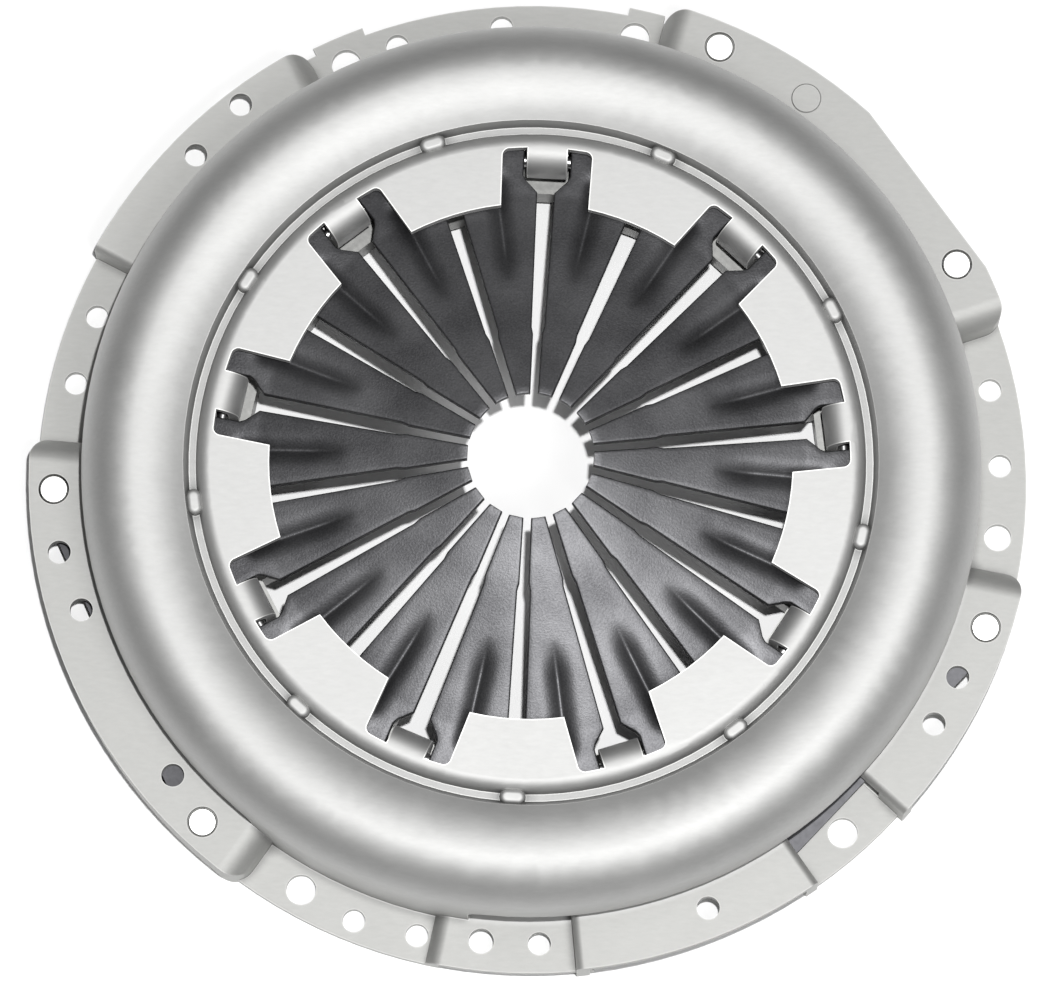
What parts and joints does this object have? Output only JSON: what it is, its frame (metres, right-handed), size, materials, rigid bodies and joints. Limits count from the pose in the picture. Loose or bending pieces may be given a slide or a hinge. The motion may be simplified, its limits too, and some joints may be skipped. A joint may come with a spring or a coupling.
{
  "type": "clutch pressure plate",
  "caption": "Diaphragm-spring clutch cover: pressed steel dome with hooked fingers, raised strap lands and a sprung cast pressure plate.",
  "frame": {"origin": "centre of the clutch axis in the plane of the mounting face that bolts to the flywheel", "axes": "+Z along the clutch axis from the flywheel towards the release bearing; +Y towards the upper bolting pad"},
  "size_m": [0.2792, 0.2761, 0.0497],
  "materials": {
    "pressed_steel": "satin",
    "spring_steel": "matte shot-peened",
    "wire_steel": "drawn",
    "cast_plate": "machined",
    "strap_steel": "rolled",
    "rivet_steel": "bright"
  },
  "bodies": {
    "cover": {"cover": "pressed_steel", "diaphragm_spring": "spring_steel", "fulcrum_wire": "wire_steel", "balance_rivet": "rivet_steel", "strap_1_leaf_1": "strap_steel", "strap_1_leaf_2": "strap_steel", "strap_1_leaf_3": "strap_steel", "strap_2_leaf_1": "strap_steel", "strap_2_leaf_2": "strap_steel", "strap_2_leaf_3": "strap_steel", "strap_3_leaf_1": "strap_steel", "strap_3_leaf_2": "strap_steel", "strap_3_leaf_3": "strap_steel", "cover_rivet_1": "rivet_steel", "cover_rivet_2": "rivet_steel", "cover_rivet_3": "rivet_steel"},
    "pressure_plate": {"pressure_plate": "cast_plate", "plate_rivet_1": "rivet_steel", "plate_rivet_2": "rivet_steel", "plate_rivet_3": "rivet_steel"}
  },
  "joints": [
    {"name": "plate_lift", "type": "slide", "parent": "cover", "child": "pressure_plate", "axis": [0, 0, 1], "range_m": [0, 0.0038], "deforming": ["diaphragm_spring", "strap_1_leaf_1", "strap_1_leaf_2", "strap_1_leaf_3", "strap_2_leaf_1", "strap_2_leaf_2", "strap_2_leaf_3", "strap_3_leaf_1", "strap_3_leaf_2", "strap_3_leaf_3"]}
  ]
}
